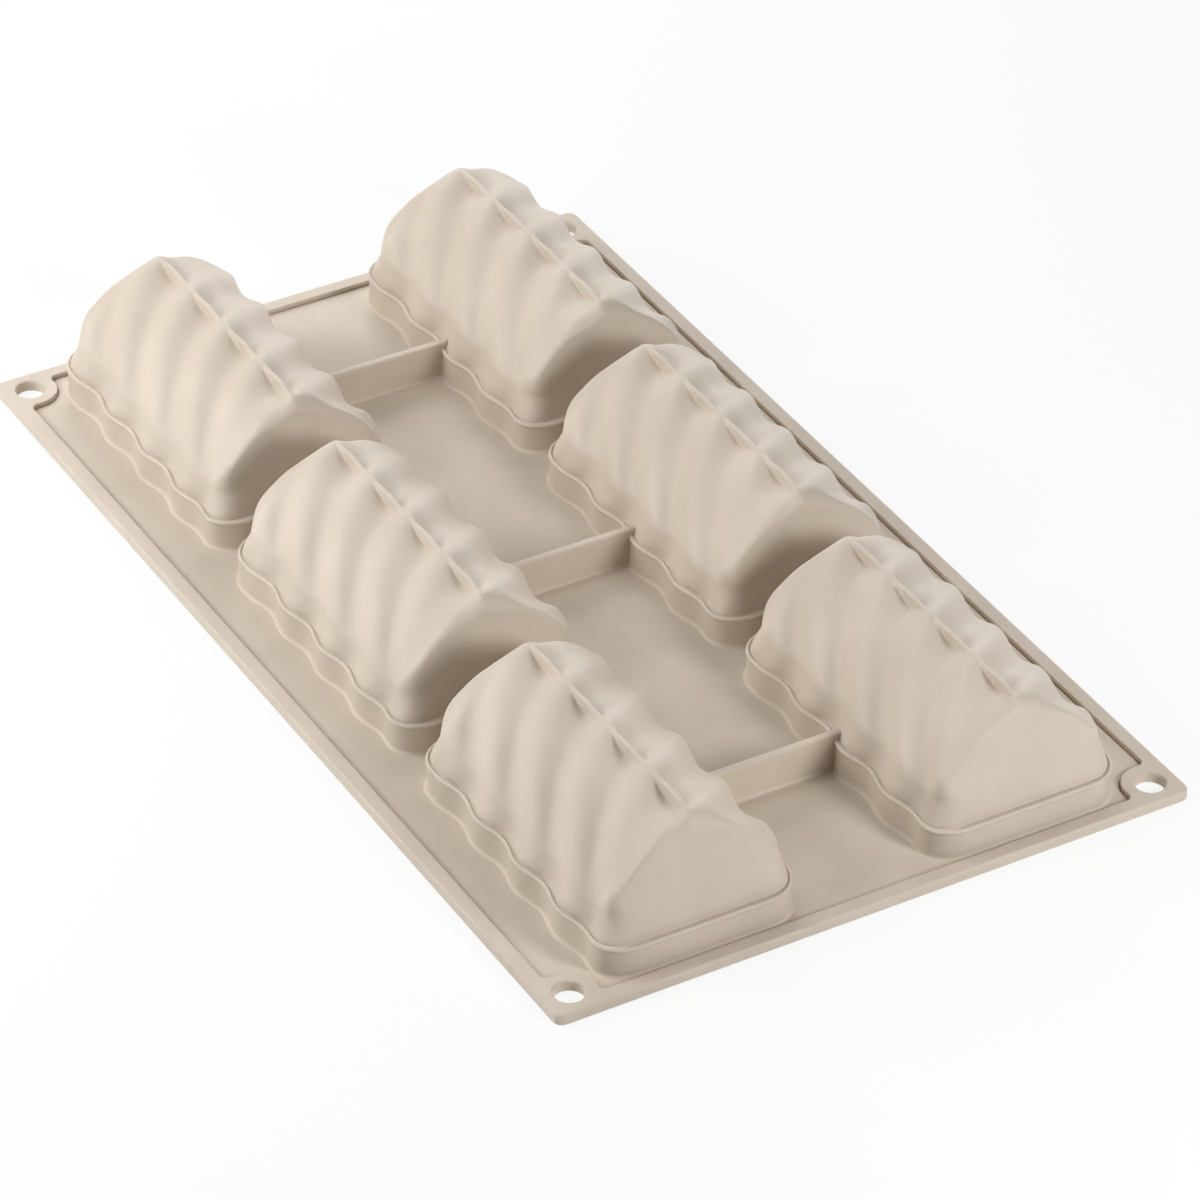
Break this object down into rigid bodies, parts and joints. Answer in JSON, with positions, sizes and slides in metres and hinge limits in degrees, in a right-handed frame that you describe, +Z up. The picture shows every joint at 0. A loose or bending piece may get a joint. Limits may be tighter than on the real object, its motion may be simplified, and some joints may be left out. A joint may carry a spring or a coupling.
{
  "type": "silicone dessert mould",
  "caption": "Flexible silicone mould: a thin rectangular plate with a raised rim and corner hanging holes, carrying hollow fluted log-shaped cavities for baked or frozen desserts.",
  "frame": {"origin": "centre of the plate's flat open face, which rests on a table when the cavities point up", "axes": "+Z up from the flat face to the cavities' crests, +Y along the plate's long side, +X along its short side"},
  "size_m": [0.175, 0.3, 0.0377],
  "materials": {
    "silicone": "satin-matt moulded silicone rubber, warm grey-beige"
  },
  "bodies": {
    "root": {"web_plate": "silicone", "rim_rail_front": "silicone", "rim_rail_back": "silicone", "rim_rail_left": "silicone", "rim_rail_right": "silicone", "corner_eyelet_front_left": "silicone", "corner_eyelet_front_right": "silicone", "corner_eyelet_back_left": "silicone", "corner_eyelet_back_right": "silicone", "cavity_collar_front_left": "silicone", "cavity_collar_front_right": "silicone", "cavity_collar_middle_left": "silicone", "cavity_collar_middle_right": "silicone", "cavity_collar_back_left": "silicone", "cavity_collar_back_right": "silicone", "cavity_shell_front_left": "silicone", "cavity_shell_front_right": "silicone", "cavity_shell_middle_left": "silicone", "cavity_shell_middle_right": "silicone", "cavity_shell_back_left": "silicone", "cavity_shell_back_right": "silicone", "tie_rib_front": "silicone", "tie_rib_middle": "silicone", "tie_rib_back": "silicone"}
  },
  "joints": []
}
